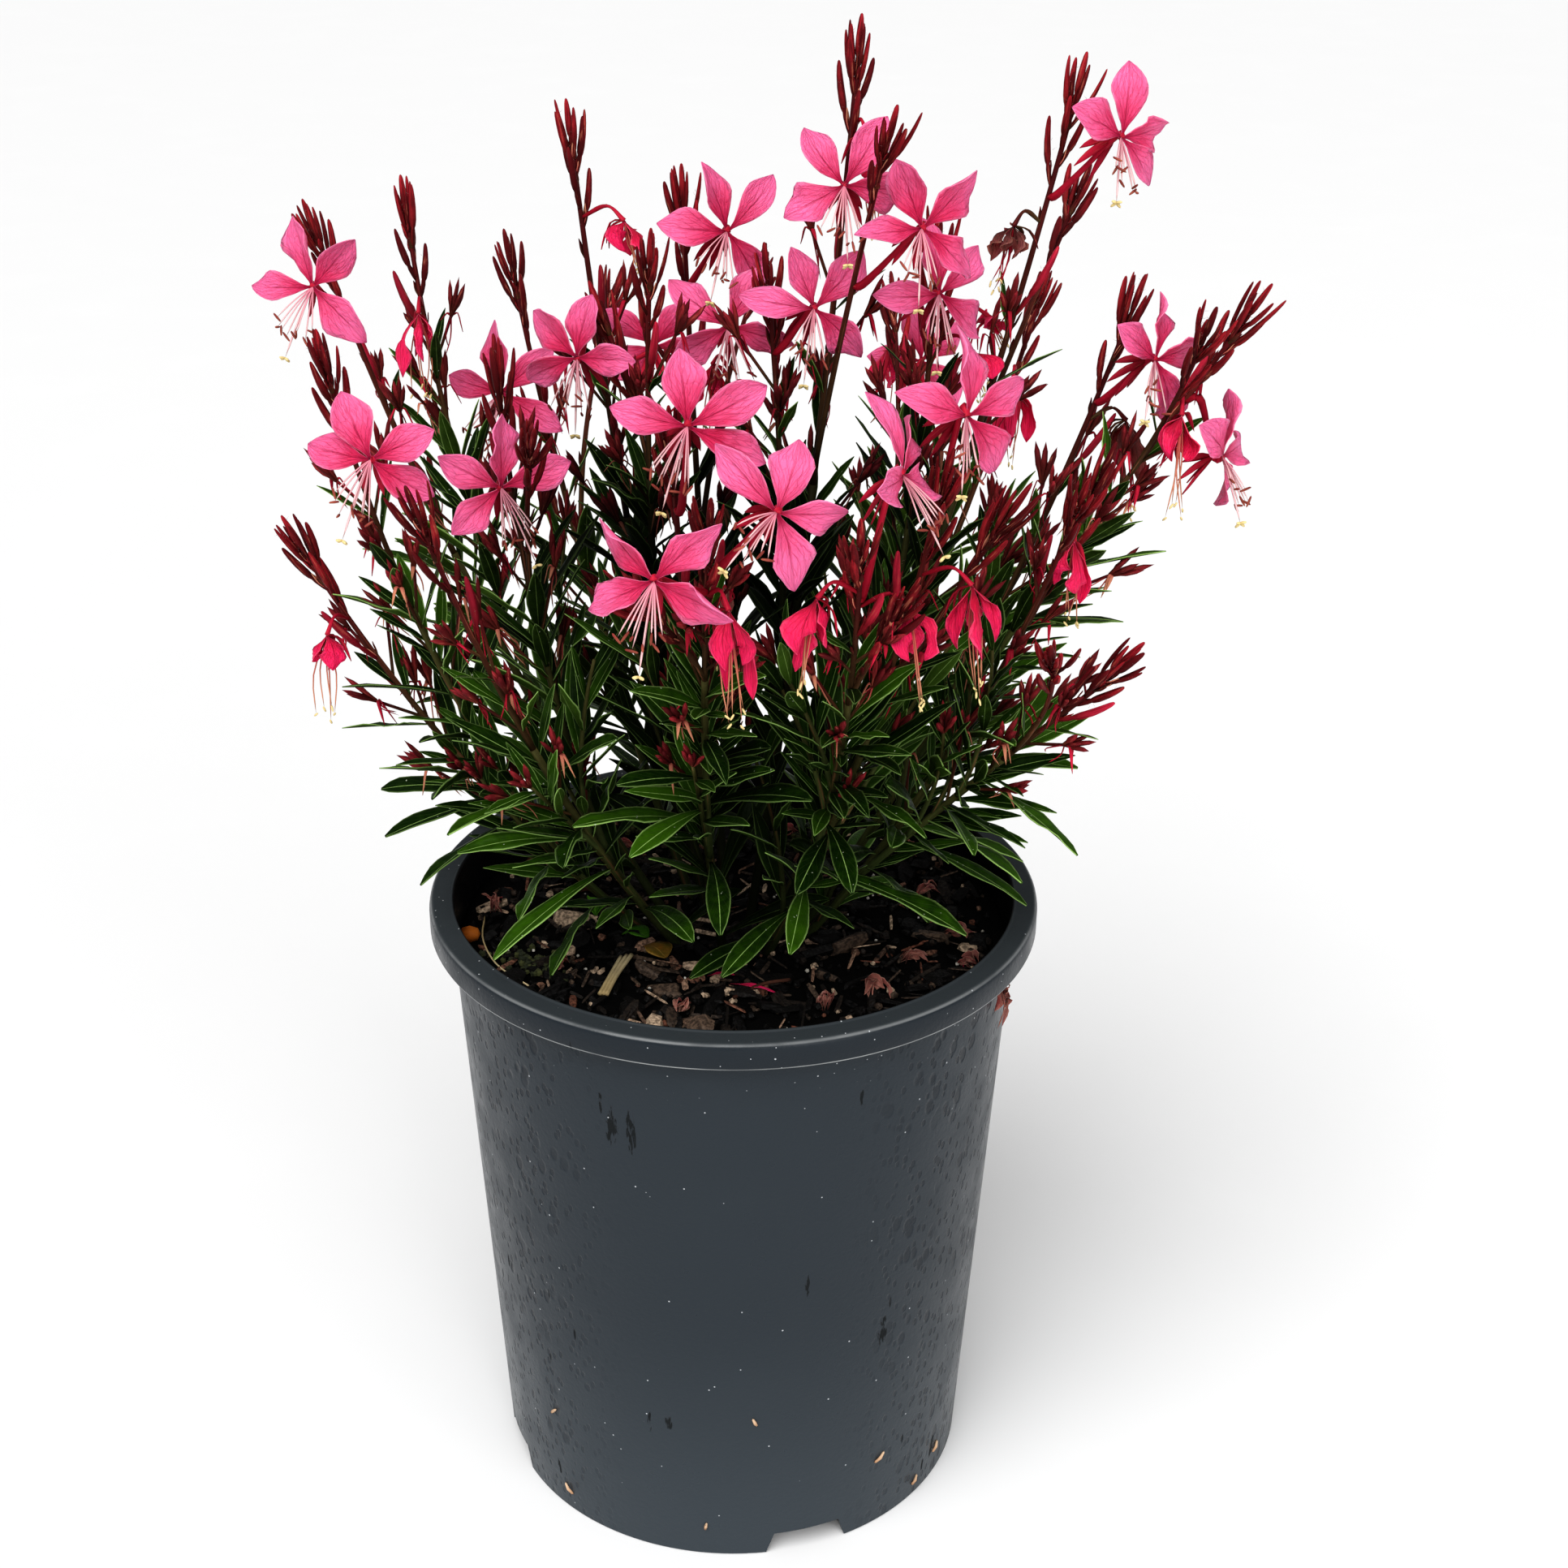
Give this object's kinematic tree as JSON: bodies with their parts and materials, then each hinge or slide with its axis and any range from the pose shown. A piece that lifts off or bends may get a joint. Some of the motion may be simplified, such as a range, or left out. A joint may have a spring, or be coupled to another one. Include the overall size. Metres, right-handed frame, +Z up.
{
  "type": "potted gaura",
  "caption": "Clump of leafy stems with tall racemes of red buds and pink butterfly flowers, in a round plastic nursery pot of bark potting mix.",
  "frame": {"origin": "on the pot's axis, at the level of the foot ring's underside; the plant reaches as far to the left as to the right and as far to the back as to the front", "axes": "+Z up along the pot's axis; -Y towards the side the picture is taken from; +X to its right"},
  "size_m": [0.3063, 0.2977, 0.4874],
  "materials": {
    "pot_plastic": "satin",
    "bark_mix": "rough, damp",
    "leaf_green": "satin",
    "raceme_red": "satin",
    "petal_pink": "soft satin"
  },
  "bodies": {
    "root": {"pot": "pot_plastic", "potting_mix": "bark_mix", "leafy_stem_01": "leaf_green", "leafy_stem_02": "leaf_green", "leafy_stem_03": "leaf_green", "leafy_stem_04": "leaf_green", "leafy_stem_05": "leaf_green", "leafy_stem_06": "leaf_green", "leafy_stem_07": "leaf_green", "leafy_stem_08": "leaf_green", "leafy_stem_09": "leaf_green", "leafy_stem_10": "leaf_green", "leafy_stem_11": "leaf_green", "leafy_stem_12": "leaf_green", "leafy_stem_13": "leaf_green", "raceme_01": "raceme_red", "raceme_02": "raceme_red", "raceme_03": "raceme_red", "raceme_04": "raceme_red", "raceme_05": "raceme_red", "raceme_06": "raceme_red", "raceme_07": "raceme_red", "raceme_08": "raceme_red", "raceme_09": "raceme_red", "raceme_10": "raceme_red", "raceme_11": "raceme_red", "raceme_12": "raceme_red", "raceme_13": "raceme_red", "raceme_14": "raceme_red", "raceme_15": "raceme_red", "raceme_16": "raceme_red", "raceme_17": "raceme_red", "raceme_18": "raceme_red", "raceme_19": "raceme_red", "raceme_20": "raceme_red", "raceme_21": "raceme_red", "raceme_22": "raceme_red", "raceme_23": "raceme_red", "raceme_24": "raceme_red", "bloom_01": "petal_pink", "bloom_02": "petal_pink", "bloom_03": "petal_pink", "bloom_04": "petal_pink", "bloom_05": "petal_pink", "bloom_06": "petal_pink", "bloom_07": "petal_pink", "bloom_08": "petal_pink", "bloom_09": "petal_pink", "bloom_10": "petal_pink", "bloom_11": "petal_pink", "bloom_12": "petal_pink", "bloom_13": "petal_pink", "bloom_14": "petal_pink", "bloom_15": "petal_pink", "bloom_16": "petal_pink", "bloom_17": "petal_pink", "bloom_18": "petal_pink", "bloom_19": "petal_pink", "bloom_20": "petal_pink", "bloom_21": "petal_pink"}
  },
  "joints": []
}
